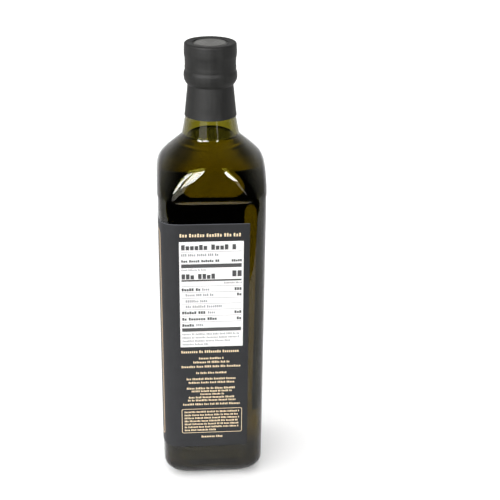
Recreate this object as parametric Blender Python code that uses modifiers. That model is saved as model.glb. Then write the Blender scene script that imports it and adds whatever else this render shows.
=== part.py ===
"""A filled olive oil bottle: a turned body of green glass cut by four flat faces, with a round shoulder and a slim
neck, its oil, a paper label round three faces, a screw cap and the black skin shrunk over the cap and the neck.

The seen face looks along -Y, the bare face along +X. The origin is on the ground under the bottle's axis.
"""

import math

import bmesh
import bpy

# Driving dimensions of the bottle, in metres
SIDE = 0.0692
TOTAL_HEIGHT = 0.2975
OIL_LEVEL = 0.240
WALL = 0.0032
FLOOR = 0.0055
GAP = 0.0003

# Heel and base: the body turns in over the heel to a flat ring round a shallow hollow
HEEL_HEIGHT = 0.0125
HEEL_INSET = 0.0110
BASE_REACH = 0.0265
REST_RING_WIDTH = 0.0050
PUSH_UP = 0.0025

# Body and shoulder: a cylinder under half an ellipse, turned about the axis and cut by four flat faces,
# which leaves an arch over each face and an upright rounded edge down both its sides
DOME_RADIUS = 0.0433
DOME_HEIGHT = 0.0458
DOME_CENTRE_Z = 0.1960
EDGE_BLEND = 0.0042
NECK_BLEND = 0.0078

# Label panel: under a small ledge the four faces are a little recessed
PANEL_RECESS = 0.0005
LEDGE_LOW_Z = 0.2046
LEDGE_HIGH_Z = 0.2072

# Neck: a slow cone up to the cap, a quicker one below the skin, and the straight finish inside the cap
NECK_ROOT_Z = 0.2450
NECK_RADIUS_LOW = 0.0157
NECK_LOW_Z = 0.2522
NECK_TAPER = 0.107
NECK_FLARE = 0.20
NECK_TOP_Z = 0.2700
FINISH_RADIUS = 0.0130
FINISH_Z = 0.2706
MOUTH_Z = 0.2938
LIP_ROUND = 0.0008

# Black skin over cap and neck, as height and radius down its outer side
SKIN = 0.0004
SKIN_HOLE_RADIUS = 0.0106
SKIN_EDGE_ROUND = 0.0014
SKIN_SIDE = (
    (0.2938, 0.01622),
    (0.2912, 0.01630),
    (0.2896, 0.01618),
    (0.2880, 0.01592),
    (0.2845, 0.01578),
    (0.2822, 0.01592),
    (0.2806, 0.01592),
    (0.2792, 0.01650),
    (0.2780, 0.01662),
    (0.2764, 0.01658),
    (0.2748, 0.01628),
    (0.2734, 0.01568),
    (0.2722, 0.01490),
)
SKIN_STEP_Z = 0.2710
SKIN_STEP_RADIUS = 0.01437
SKIN_LOW_Z = 0.2522
SKIN_LOW_RADIUS = 0.01640

# Screw cap
CAP_BOTTOM_Z = 0.2728

# Paper label: from the seen face round the left side to the far face
LABEL_TOP_Z = 0.1920
LABEL_BOTTOM_Z = 0.0268
LABEL_EDGE_X = 0.0229
LABEL_THICKNESS = 0.0002

# Facets
FACE_TURN = math.radians(34)
FACE_STEPS = 6
CORNER_STEPS = 6
TURN_STEPS = 36
HEEL_STEPS = 4
SHOULDER_RINGS = 11
ROUND_STEPS = 4

HALF = SIDE / 2
PANEL_HALF = HALF - PANEL_RECESS
PARTS_NAME = "olive_oil_bottle"


def clear_scene():
    """Take away whatever the file opened with."""
    for thing in list(bpy.data.objects):
        bpy.data.objects.remove(thing, do_unlink=True)


def make_collection():
    """The collection that holds the bottle's pieces."""
    parts = bpy.data.collections.new(PARTS_NAME)
    bpy.context.scene.collection.children.link(parts)
    return parts


def make_material(name, colour, roughness, metallic=0.0, transmission=0.0):
    """A plain Principled material."""
    material = bpy.data.materials.new(name)
    material.use_nodes = True
    shader = material.node_tree.nodes["Principled BSDF"]
    shader.inputs["Base Color"].default_value = (*colour, 1.0)
    shader.inputs["Roughness"].default_value = roughness
    shader.inputs["Metallic"].default_value = metallic
    shader.inputs["Transmission Weight"].default_value = transmission
    material.diffuse_color = (*colour, 1.0)
    return material


def add_object(name, mesh, parts, material):
    """One named piece, shaded smooth but for its edges."""
    piece = bpy.data.objects.new(name, mesh)
    parts.objects.link(piece)
    mesh.materials.append(material)
    mesh.shade_smooth()
    mesh.set_sharp_from_angle(angle=math.radians(35))
    return piece


def smooth_min(a, b, width):
    """The smaller of two lengths, rounded where they differ by less than width."""
    near = max(width - abs(a - b), 0.0) / width
    return min(a, b) - near * near * width / 4


def smooth_max(a, b, width):
    """The larger of two lengths, rounded where they differ by less than width."""
    return -smooth_min(-a, -b, width)


def turned_radius(z):
    """Radius of the turned form, body, shoulder and neck, at a height."""
    if z <= DOME_CENTRE_Z:
        return DOME_RADIUS
    up = (z - DOME_CENTRE_Z) / DOME_HEIGHT
    dome = DOME_RADIUS * math.sqrt(max(1 - up * up, 0.0))
    slope = NECK_FLARE if z < NECK_LOW_Z else NECK_TAPER
    neck = NECK_RADIUS_LOW + slope * (NECK_LOW_Z - z)
    return smooth_max(dome, neck, NECK_BLEND)


def face_half(z):
    """Distance from the axis to a flat face at a height: less on the recessed label panel."""
    share = min(max((z - LEDGE_LOW_Z) / (LEDGE_HIGH_Z - LEDGE_LOW_Z), 0.0), 1.0)
    return HALF - PANEL_RECESS * (1 - share)


def cut_radius(angle, half, reach):
    """Distance from the axis, in one direction, to a circle cut by four flat faces with rounded edges."""
    turn = abs((angle + math.pi / 4) % (math.pi / 2) - math.pi / 4)
    return smooth_min(reach, half / math.cos(turn), EDGE_BLEND)


def ring_angles():
    """Directions of one ring's points, closer together round the corners."""
    angles = []
    for side in range(4):
        middle = side * math.pi / 2
        for step in range(FACE_STEPS):
            angles.append(middle - FACE_TURN + 2 * FACE_TURN * step / FACE_STEPS)
        for step in range(CORNER_STEPS):
            angles.append(middle + FACE_TURN + (math.pi / 2 - 2 * FACE_TURN) * step / CORNER_STEPS)
    return angles


def cut_ring(z, half, reach):
    """Points of one cut circle at a height."""
    points = []
    for angle in ring_angles():
        radius = cut_radius(angle, half, reach)
        points.append((radius * math.cos(angle), radius * math.sin(angle), z))
    return points


def round_ring(z, radius):
    """Points of one circle at a height, in the same directions."""
    return [(radius * math.cos(angle), radius * math.sin(angle), z) for angle in ring_angles()]


def body_ring(z, depth):
    """Points on the body, shoulder or neck at a height, a depth in from the outer surface."""
    return cut_ring(z, face_half(z) - depth, turned_radius(z) - depth)


def heel_rings(floor_z, depth):
    """Rings from the flat base up the rounded heel, a depth in from the outer surface."""
    rings = []
    for step in range(HEEL_STEPS):
        turn = math.pi / 2 * step / HEEL_STEPS
        share = 1 - math.sin(turn)
        z = floor_z + (HEEL_HEIGHT - floor_z / 2) * (1 - math.cos(turn))
        reach = DOME_RADIUS + (BASE_REACH - DOME_RADIUS) * share
        rings.append(cut_ring(z, PANEL_HALF - depth - HEEL_INSET * share, reach - depth))
    rings.append(body_ring(floor_z + HEEL_HEIGHT - floor_z / 2, depth))
    return rings


def shoulder_heights():
    """Heights from the label's top over the ledge to the oil's level, closer where the shoulder turns fastest."""
    heights = [LABEL_TOP_Z + (LEDGE_LOW_Z - LABEL_TOP_Z) * step / 3 for step in range(3)]
    heights.append(LEDGE_LOW_Z)
    rise = OIL_LEVEL - LEDGE_HIGH_Z
    shares = [step / SHOULDER_RINGS for step in range(SHOULDER_RINGS + 1)]
    return heights + [LEDGE_HIGH_Z + rise * math.sin(share * math.pi / 2) for share in shares]


def add_strip(body, first, second):
    """Triangles between two rings; a wall's two sides are split the same way, so they never cross."""
    rising = second[0].co.z > first[0].co.z
    for here in range(len(first)):
        there = (here + 1) % len(first)
        if rising:
            body.faces.new((first[here], first[there], second[there]))
            body.faces.new((first[here], second[there], second[here]))
        else:
            body.faces.new((first[here], first[there], second[here]))
            body.faces.new((first[there], second[there], second[here]))


def loft(name, rings, low_point, high_point):
    """A closed body through rings of points, ending in a point at both ends."""
    mesh = bpy.data.meshes.new(name)
    body = bmesh.new()
    rows = [[body.verts.new(point) for point in ring] for ring in rings]
    low = body.verts.new(low_point)
    high = body.verts.new(high_point)
    count = len(rows[0])
    for here in range(count):
        there = (here + 1) % count
        body.faces.new((low, rows[0][there], rows[0][here]))
        body.faces.new((rows[-1][here], rows[-1][there], high))
    for first, second in zip(rows, rows[1:]):
        add_strip(body, first, second)
    body.normal_update()
    body.to_mesh(mesh)
    body.free()
    return mesh


def glass_rings():
    """The glass from the hollow under its base, up the outside, over the lip and down the inside."""
    ring_half = PANEL_HALF - HEEL_INSET - REST_RING_WIDTH
    rings = [round_ring(PUSH_UP * 0.75, ring_half / 2), cut_ring(0.0, ring_half, BASE_REACH - REST_RING_WIDTH)]
    rings += heel_rings(0.0, 0.0)
    heights = [*shoulder_heights(), NECK_ROOT_Z, NECK_LOW_Z]
    rings += [body_ring(z, 0.0) for z in heights]
    rings += [body_ring(NECK_TOP_Z, 0.0), round_ring(FINISH_Z, FINISH_RADIUS)]
    bore = FINISH_RADIUS - WALL
    rings += [
        round_ring(MOUTH_Z - LIP_ROUND, FINISH_RADIUS),
        round_ring(MOUTH_Z, FINISH_RADIUS - LIP_ROUND),
        round_ring(MOUTH_Z, bore + LIP_ROUND),
        round_ring(MOUTH_Z - LIP_ROUND, bore),
        round_ring(FINISH_Z, bore),
    ]
    rings += [body_ring(z, WALL) for z in reversed(heights)]
    rings += list(reversed(heel_rings(FLOOR, WALL)))
    return rings


def make_glass(parts):
    """The bottle itself: one hollow piece, open at its mouth."""
    floor_top = (0.0, 0.0, FLOOR + PUSH_UP / 2)
    mesh = loft("bottle_glass", glass_rings(), (0.0, 0.0, PUSH_UP), floor_top)
    material = make_material("green_glass", (0.10, 0.11, 0.02), 0.05, transmission=1.0)
    return add_object("bottle_glass", mesh, parts, material)


def make_oil(parts):
    """The oil, a gap clear of the glass, up to its level in the neck."""
    depth = WALL + GAP
    rings = heel_rings(FLOOR + GAP, depth)
    rings += [body_ring(z, depth) for z in shoulder_heights()]
    low_point = (0.0, 0.0, FLOOR + PUSH_UP / 2 + GAP)
    mesh = loft("olive_oil", rings, low_point, (0.0, 0.0, OIL_LEVEL))
    material = make_material("olive_oil", (0.36, 0.28, 0.01), 0.10, transmission=1.0)
    return add_object("olive_oil", mesh, parts, material)


def turned_mesh(name, outline):
    """A mesh of one outline in the XZ plane, given as radius and height."""
    mesh = bpy.data.meshes.new(name)
    edges = [(here, here + 1) for here in range(len(outline) - 1)]
    mesh.from_pydata([(radius, 0.0, z) for radius, z in outline], edges, [])
    return mesh


def add_turn(piece):
    """Turn an outline once round the Z axis."""
    turn = piece.modifiers.new("turn", "SCREW")
    turn.axis = "Z"
    turn.angle = math.tau
    turn.steps = TURN_STEPS
    turn.render_steps = TURN_STEPS
    turn.use_merge_vertices = True
    turn.merge_threshold = 0.00001
    turn.use_smooth_shade = True
    return turn


def rounded_edge(radius, top_z, round_radius):
    """Quarter turn from a flat top to an upright side, as radius and height."""
    points = []
    for step in range(ROUND_STEPS + 1):
        turn = math.pi / 2 * step / ROUND_STEPS
        points.append((
            radius - round_radius * (1 - math.sin(turn)),
            top_z - round_radius * (1 - math.cos(turn)),
        ))
    return points


def skin_outline():
    """The skin's outer surface from the hole in its top down to its lower edge."""
    outline = [(SKIN_HOLE_RADIUS, TOTAL_HEIGHT)]
    outline += rounded_edge(SKIN_SIDE[0][1], TOTAL_HEIGHT, SKIN_EDGE_ROUND)
    outline += [(radius, z) for z, radius in SKIN_SIDE]
    outline += [(SKIN_STEP_RADIUS, SKIN_STEP_Z), (SKIN_LOW_RADIUS, SKIN_LOW_Z)]
    return outline


def make_skin(parts):
    """The black skin, turned over the cap's top and shrunk on to cap and neck."""
    material = make_material("black_skin", (0.035, 0.035, 0.036), 0.55)
    piece = add_object("shrink_sleeve", turned_mesh("shrink_sleeve", skin_outline()), parts, material)
    add_turn(piece)
    shell = piece.modifiers.new("thickness", "SOLIDIFY")
    shell.thickness = SKIN
    shell.offset = -1.0
    shell.use_even_offset = True
    return piece


def make_cap(parts):
    """The screw cap: a cup over the bottle's finish, following the skin inside."""
    inset = SKIN + GAP
    top_z = TOTAL_HEIGHT - inset
    outline = [(0.0, top_z)]
    outline += rounded_edge(SKIN_SIDE[0][1] - inset, top_z, SKIN_EDGE_ROUND)
    outline += [(radius - inset, z) for z, radius in SKIN_SIDE if z > CAP_BOTTOM_Z]
    bore = FINISH_RADIUS + GAP
    outline += [(bore + SKIN, CAP_BOTTOM_Z), (bore, CAP_BOTTOM_Z), (bore, MOUTH_Z + GAP), (0.0, MOUTH_Z + GAP)]
    material = make_material("cap_plastic", (0.16, 0.16, 0.155), 0.45)
    piece = add_object("screw_cap", turned_mesh("screw_cap", outline), parts, material)
    add_turn(piece)
    return piece


def label_path():
    """Points on the glass along the label, from the seen face round the left side to the far face."""
    out = PANEL_HALF + GAP
    end = math.atan2(out, LABEL_EDGE_X)
    start = math.tau - end
    turns = sorted(angle % math.tau for angle in ring_angles())
    between = [angle for angle in reversed(turns) if end < angle < start]
    points = []
    for angle in [start, *between, end]:
        radius = cut_radius(angle, out, DOME_RADIUS + GAP)
        points.append((radius * math.cos(angle), radius * math.sin(angle)))
    return points


def make_label(parts):
    """The paper label, one thin sheet bent round three faces."""
    path = label_path()
    mesh = bpy.data.meshes.new("label_wrap")
    lows = [(x, y, LABEL_BOTTOM_Z) for x, y in path]
    highs = [(x, y, LABEL_TOP_Z) for x, y in path]
    count = len(path)
    faces = [(step, count + step, count + step + 1, step + 1) for step in range(count - 1)]
    mesh.from_pydata(lows + highs, [], faces)
    material = make_material("label_paper", (0.052, 0.054, 0.060), 0.60)
    piece = add_object("label_wrap", mesh, parts, material)
    sheet = piece.modifiers.new("thickness", "SOLIDIFY")
    sheet.thickness = LABEL_THICKNESS
    sheet.offset = 1.0
    sheet.use_even_offset = True
    return piece


def build():
    """Make the five pieces."""
    clear_scene()
    parts = make_collection()
    make_glass(parts)
    make_oil(parts)
    make_cap(parts)
    make_skin(parts)
    make_label(parts)


build()
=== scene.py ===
"""The looks of a filled olive oil bottle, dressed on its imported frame.

Run as a script in Blender 4.5, it loads the frame, registers an operator for each group of pieces and one for
the stage, and calls them in order. Lengths are metres, the seen face looks along -Y and +Z is up.
"""

import bisect
import math
import random

import bmesh
import bpy
from mathutils import Matrix, Vector, noise


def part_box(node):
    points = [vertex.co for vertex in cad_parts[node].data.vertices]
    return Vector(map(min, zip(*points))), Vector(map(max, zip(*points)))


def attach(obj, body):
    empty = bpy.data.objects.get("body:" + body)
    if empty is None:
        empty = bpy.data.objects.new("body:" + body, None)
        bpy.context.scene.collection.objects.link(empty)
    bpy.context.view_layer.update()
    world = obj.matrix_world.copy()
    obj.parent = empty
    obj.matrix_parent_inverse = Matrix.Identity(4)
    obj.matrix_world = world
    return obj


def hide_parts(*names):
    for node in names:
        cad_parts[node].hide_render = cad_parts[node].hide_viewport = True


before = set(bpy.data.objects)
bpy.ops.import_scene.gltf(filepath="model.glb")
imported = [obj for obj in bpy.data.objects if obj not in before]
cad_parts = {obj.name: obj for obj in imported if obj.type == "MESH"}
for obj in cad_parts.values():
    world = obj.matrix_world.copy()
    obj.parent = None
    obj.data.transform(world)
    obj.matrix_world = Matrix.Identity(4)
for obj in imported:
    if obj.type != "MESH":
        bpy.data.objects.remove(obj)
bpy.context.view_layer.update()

bl_info = {
    "name": "Olive Oil Bottle",
    "version": (1, 0, 0),
    "blender": (4, 5, 0),
    "location": "3D View > Sidebar > Oil Bottle",
    "description": "Dresses the frame of an olive oil bottle with glass, oil, cap, skin, label and print",
    "category": "Add Mesh",
}

GLASS_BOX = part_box("bottle_glass")
OIL_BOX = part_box("olive_oil")
CAP_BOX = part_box("screw_cap")
SKIN_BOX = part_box("shrink_sleeve")
LABEL_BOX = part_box("label_wrap")
MM = 0.001

# Glass body, as in the part's source
HALF = GLASS_BOX[1].x
MOUTH_Z = GLASS_BOX[1].z
WALL = 0.0032
FLOOR = 0.0055
HEEL_HEIGHT = 0.0125
HEEL_INSET = 0.0110
BASE_REACH = 0.0265
REST_RING_WIDTH = 0.0050
PUSH_UP = 0.0025
DOME_RADIUS = 0.0433
DOME_HEIGHT = 0.0458
DOME_CENTRE_Z = 0.1960
EDGE_BLEND = 0.0042
NECK_BLEND = 0.0078
PANEL_HALF = HALF - 0.0005
LEDGE_LOW_Z = 0.2046
LEDGE_HIGH_Z = 0.2072
NECK_RADIUS_LOW = 0.0157
NECK_LOW_Z = 0.2522
NECK_TAPER = 0.107
NECK_FLARE = 0.20
NECK_TOP_Z = 0.2700
FINISH_RADIUS = 0.0130
FINISH_Z = 0.2706
LIP_ROUND = 0.0008
WALL_END_Z = 0.1930
SHOULDER_END_Z = 0.2460

# Oil
OIL_LEVEL = OIL_BOX[1].z
OIL_REACH = 0.0004
MENISCUS = 0.0007
MENISCUS_REACH = 0.0012
MENISCUS_RINGS = 12
MENISCUS_STEP = 0.0003

# Cap: its shoulder as inward and down from its box, and its dished disc with rings, as radius and height
CAP_GAP = 0.0003
CAP_EDGE_Z = 0.2955
CAP_SHOULDER = ((0.0016, 0.0), (0.0008, 0.0003))
CAP_DISC_RADIUS = 0.0108
CAP_DISC_RISE = 0.0003
CAP_DISC_STEPS = 48
DISH_RADIUS = 0.0090
DISH_DEPTH = 0.0002
GROOVE_RADIUS = 0.0094
GROOVE_WIDTH = 0.0006
GROOVE_DEPTH = 0.0007
CAP_RING_WIDTH = 0.0007
CAP_RINGS = ((0.0088, 0.00010), (0.0060, 0.00014), (0.0034, 0.00014), (0.0008, 0.00014))

# Black skin over cap and neck, as height and radius down its outer side
SKIN = 0.0004
SKIN_TOP_Z = SKIN_BOX[1].z
SKIN_HOLE_RADIUS = 0.0108
HOLE_WAVE = 0.0004
HOLE_RIPPLE = 0.0002
SKIN_EDGE_ROUND = 0.0012
SKIN_SIDE_ROOM = 0.00008
SKIN_TOP_ROOM = 0.00006
SKIN_SAG = 0.00022
SKIN_PUCKER = 0.00012
SEAM_ANGLE = math.radians(268)
SEAM_WIDTH = 0.030
SEAM_HEIGHT = 0.00008
FOLD_HEIGHT = 0.00006
RIPPLE_HEIGHT = 0.00004
SKIN_SIDE = (
    (0.2960, 0.01612),
    (0.2938, 0.01622),
    (0.2912, 0.01630),
    (0.2896, 0.01618),
    (0.2880, 0.01592),
    (0.2845, 0.01578),
    (0.2822, 0.01592),
    (0.2806, 0.01592),
    (0.2792, 0.01648),
    (0.2780, 0.01658),
    (0.2764, 0.01654),
    (0.2748, 0.01626),
    (0.2734, 0.01566),
    (0.2723, 0.01488),
    (0.2716, 0.01434),
    (0.2708, 0.01434),
    (0.2650, 0.01496),
    (0.2590, 0.01558),
    (0.2545, 0.01606),
    (0.2522, 0.01638),
)

# Paper label and its print
LABEL_TOP = LABEL_BOX[1].z
LABEL_BOTTOM = LABEL_BOX[0].z
LABEL_EDGE = LABEL_BOX[1].x
PAPER_INSIDE = 0.00004
PAPER_OUTSIDE = 0.00026
INK_DEPTH = 0.00002
CUT_EDGE = 0.0003
LABEL_CORNER = 0.0006
FLAT_REACH = 0.0165
BEND_STEP = 0.0010
WRAP_STEPS = 1000

# Facets
FACE_TURN = math.radians(31)
FACE_STEPS = 56
CORNER_STEPS = 40
HEEL_STEPS = 14
WALL_STEPS = 4
SHOULDER_STEPS = 100
NECK_STEPS = 12
TURN_STEPS = 160
BACKDROP_STEPS = 64

# Clear stuff, as loss of light for each metre and bending of light
GLASS_DENSITY = 700.0
GLASS_REFRACTION = 1.50
OIL_DENSITY = 90.0
OIL_REFRACTION = 1.47

# Floor's own light, which keeps the bottle's shadow faint
FLOOR_GLOW = 0.25

# Lights: the even one from above, and those that show only as reflections, each with its direction in
# degrees, its distance, its width and height, and its brightness
OVERHEAD_STRENGTH = 3.55
OVERHEAD_TILT = (math.radians(18), math.radians(-22), 0.0)
OVERHEAD_SPREAD = math.radians(100)
LIGHT_AIM = Vector((0, 0, 0.15))
SOFT_LIGHTS = (
    ("window_light_left", -50, 27.3, 1.6, (0.40, 1.06), 32.0),
    ("window_light_right", -24, 27.3, 1.6, (0.56, 1.06), 32.0),
    ("fill_light", 25, 27, 1.6, (0.22, 0.8), 40.0),
    ("sill_light_left", -34, 3, 1.6, (0.95, 0.42), 2.2),
    ("sill_light_right", 25, 3, 1.6, (0.16, 0.42), 3.0),
)
DARK_CARD_PLACE = (0.0, -4.8, 0.01)
DARK_CARD_REACH = (5.0, 4.5)

# Room's brightness by direction, each as start, end, and the values there
WALL_BY_DEPTH = (-0.45, 0.70, 0.02, 0.95)
WALL_BY_HEIGHT = (0.25, 0.65, 1.0, 0.25)
TABLE_BY_DROP = (-0.86, -0.74, 0.16, 1.06)
TABLE_BY_CORNER = (0.84, 1.02, 1.0, 0.28)
TABLE_TO_WALL = (-0.06, -0.015, 0.0, 1.0)

# Camera, on the ground plan round the bottle's axis
CAMERA_DISTANCE = 0.6122
CAMERA_HEIGHT = 0.4403
CAMERA_YAW = math.radians(2.613)
CAMERA_PAN = math.radians(2.419)
CAMERA_TILT = math.radians(24.692)
CAMERA_ROLL = math.radians(0.841)
CAMERA_LENS = 73.23


class OilBottleSizes(bpy.types.PropertyGroup):
    """Sizes of the bottle's dressed pieces."""

    wall: bpy.props.FloatProperty(
        name="Glass wall", description="Thickness of the bottle's wall", default=WALL, unit="LENGTH",
        precision=4,
    )
    oil_level: bpy.props.FloatProperty(
        name="Oil level", description="Height of the oil's surface", default=OIL_LEVEL, unit="LENGTH",
        precision=4,
    )
    skin: bpy.props.FloatProperty(
        name="Skin", description="Thickness of the black skin", default=SKIN, unit="LENGTH", precision=5
    )
    label_top: bpy.props.FloatProperty(
        name="Label top", description="Height of the label's upper edge", default=LABEL_TOP, unit="LENGTH",
        precision=4,
    )
    label_bottom: bpy.props.FloatProperty(
        name="Label bottom", description="Height of the label's lower edge", default=LABEL_BOTTOM,
        unit="LENGTH", precision=4,
    )
    floor_size: bpy.props.FloatProperty(
        name="Floor size", description="Side of the pale floor", default=6.0, unit="LENGTH"
    )


class OilBottleColours(bpy.types.PropertyGroup):
    """Colours of the bottle's finishes."""

    glass: bpy.props.FloatVectorProperty(
        name="Glass", description="Tint of the green glass", subtype="COLOR", size=3,
        default=(0.625, 0.60, 0.045),
    )
    oil: bpy.props.FloatVectorProperty(
        name="Oil", description="Tint of the olive oil", subtype="COLOR", size=3, default=(0.80, 0.745, 0.20)
    )
    cap: bpy.props.FloatVectorProperty(
        name="Cap", description="Plastic of the screw cap", subtype="COLOR", size=3,
        default=(0.085, 0.085, 0.078),
    )
    skin: bpy.props.FloatVectorProperty(
        name="Skin", description="Black shrunk skin", subtype="COLOR", size=3, default=(0.020, 0.020, 0.019)
    )
    paper: bpy.props.FloatVectorProperty(
        name="Label", description="Charcoal of the label", subtype="COLOR", size=3,
        default=(0.0165, 0.0172, 0.0195),
    )
    panel: bpy.props.FloatVectorProperty(
        name="Panel", description="White of the printed panel", subtype="COLOR", size=3,
        default=(0.95, 0.95, 0.945),
    )
    heavy_rows: bpy.props.FloatVectorProperty(
        name="Heavy rows", description="Dark grey of the panel's heavy rows", subtype="COLOR", size=3,
        default=(0.045, 0.045, 0.047),
    )
    light_rows: bpy.props.FloatVectorProperty(
        name="Light rows", description="Grey of the panel's light rows", subtype="COLOR", size=3,
        default=(0.27, 0.27, 0.28),
    )
    gold: bpy.props.FloatVectorProperty(
        name="Gold", description="Pale gold ink of the rows", subtype="COLOR", size=3,
        default=(0.90, 0.73, 0.47),
    )
    copper: bpy.props.FloatVectorProperty(
        name="Copper", description="Copper ink of the frames and lozenges", subtype="COLOR", size=3,
        default=(0.58, 0.42, 0.25),
    )
    floor: bpy.props.FloatVectorProperty(
        name="Floor", description="Pale floor", subtype="COLOR", size=3, default=(0.92, 0.92, 0.915)
    )


# Shapes of the body

def smooth_min(a, b, width):
    """The smaller of two lengths, rounded where they differ by less than width."""
    near = max(width - abs(a - b), 0.0) / width
    return min(a, b) - near * near * width / 4


def smooth_max(a, b, width):
    """The larger of two lengths, rounded where they differ by less than width."""
    return -smooth_min(-a, -b, width)


def turned_radius(z):
    """Radius of the turned form, body, shoulder and neck, at a height."""
    if z <= DOME_CENTRE_Z:
        return DOME_RADIUS
    up = (z - DOME_CENTRE_Z) / DOME_HEIGHT
    dome = DOME_RADIUS * math.sqrt(max(1 - up * up, 0.0))
    slope = NECK_FLARE if z < NECK_LOW_Z else NECK_TAPER
    neck = NECK_RADIUS_LOW + slope * (NECK_LOW_Z - z)
    return smooth_max(dome, neck, NECK_BLEND)


def face_half(z):
    """Distance from the axis to a flat face at a height: less on the recessed label panel."""
    share = min(max((z - LEDGE_LOW_Z) / (LEDGE_HIGH_Z - LEDGE_LOW_Z), 0.0), 1.0)
    return PANEL_HALF + (HALF - PANEL_HALF) * share * share * (3 - 2 * share)


def cut_radius(angle, half, reach):
    """Distance from the axis, in one direction, to a circle cut by four flat faces with rounded edges."""
    turn = abs((angle + math.pi / 4) % (math.pi / 2) - math.pi / 4)
    return smooth_min(reach, half / math.cos(turn), EDGE_BLEND)


def ring_angles():
    """Directions of one ring's points, closer together round the corners."""
    angles = []
    for side in range(4):
        middle = side * math.pi / 2
        for step in range(FACE_STEPS):
            angles.append(middle - FACE_TURN + 2 * FACE_TURN * step / FACE_STEPS)
        for step in range(CORNER_STEPS):
            angles.append(middle + FACE_TURN + (math.pi / 2 - 2 * FACE_TURN) * step / CORNER_STEPS)
    return angles


BODY_ANGLES = ring_angles()


def polar(radius, angle, z):
    """A point at a distance from the axis, in a direction, at a height."""
    return (radius * math.cos(angle), radius * math.sin(angle), z)


def cut_ring(z, half, reach):
    """Points of one cut circle at a height."""
    return [polar(cut_radius(angle, half, reach), angle, z) for angle in BODY_ANGLES]


def round_ring(z, radius):
    """Points of one circle at a height, in the body's directions."""
    return [polar(radius, angle, z) for angle in BODY_ANGLES]


def body_ring(z, depth):
    """Points on the body, shoulder or neck at a height, a depth in from the outer surface."""
    return cut_ring(z, face_half(z) - depth, turned_radius(z) - depth)


def heel_rings(floor_z, depth):
    """Rings from the flat base up the rounded heel, a depth in from the outer surface."""
    rings = []
    for step in range(HEEL_STEPS):
        turn = math.pi / 2 * step / HEEL_STEPS
        share = 1 - math.sin(turn)
        z = floor_z + (HEEL_HEIGHT - floor_z / 2) * (1 - math.cos(turn))
        reach = DOME_RADIUS + (BASE_REACH - DOME_RADIUS) * share
        rings.append(cut_ring(z, PANEL_HALF - depth - HEEL_INSET * share, reach - depth))
    return rings


def even_heights(low, high, steps):
    """Heights from low up to, but without, high."""
    return [low + (high - low) * step / steps for step in range(steps)]


def body_heights(start):
    """Heights of the rings from the heel's end up to the neck's root."""
    return [
        *even_heights(start, WALL_END_Z, WALL_STEPS),
        *even_heights(WALL_END_Z, LEDGE_LOW_Z, WALL_STEPS * 4),
        *even_heights(LEDGE_LOW_Z, LEDGE_HIGH_Z, WALL_STEPS * 3),
        *even_heights(LEDGE_HIGH_Z, SHOULDER_END_Z, SHOULDER_STEPS),
    ]


def loft(name, rings, closed=False):
    """A mesh through rings of points, with a point at both ends, or closed from last ring to first."""
    mesh = bpy.data.meshes.new(name)
    body = bmesh.new()
    rows = [[body.verts.new(point) for point in ring] for ring in rings]
    count = len(rows[0])
    pairs = list(zip(rows, rows[1:]))
    if closed:
        pairs.append((rows[-1], rows[0]))
    else:
        low = body.verts.new(sum((vert.co for vert in rows[0]), Vector()) / count)
        high = body.verts.new(sum((vert.co for vert in rows[-1]), Vector()) / count)
    for here in range(count):
        there = (here + 1) % count
        if not closed:
            body.faces.new((low, rows[0][there], rows[0][here]))
            body.faces.new((rows[-1][here], rows[-1][there], high))
        for first, second in pairs:
            body.faces.new((first[here], first[there], second[there], second[here]))
    body.normal_update()
    body.to_mesh(mesh)
    body.free()
    return mesh


def add_piece(mesh, material, node=None, sharp=60):
    """One piece on the bottle's body, named as its mesh, in place of its solid where there is one."""
    piece = bpy.data.objects.new(mesh.name, mesh)
    bpy.context.scene.collection.objects.link(piece)
    mesh.materials.append(material)
    mesh.shade_smooth()
    mesh.set_sharp_from_angle(angle=math.radians(sharp))
    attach(piece, "root")
    if node:
        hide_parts(node)
    return piece


# Finishes

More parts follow.
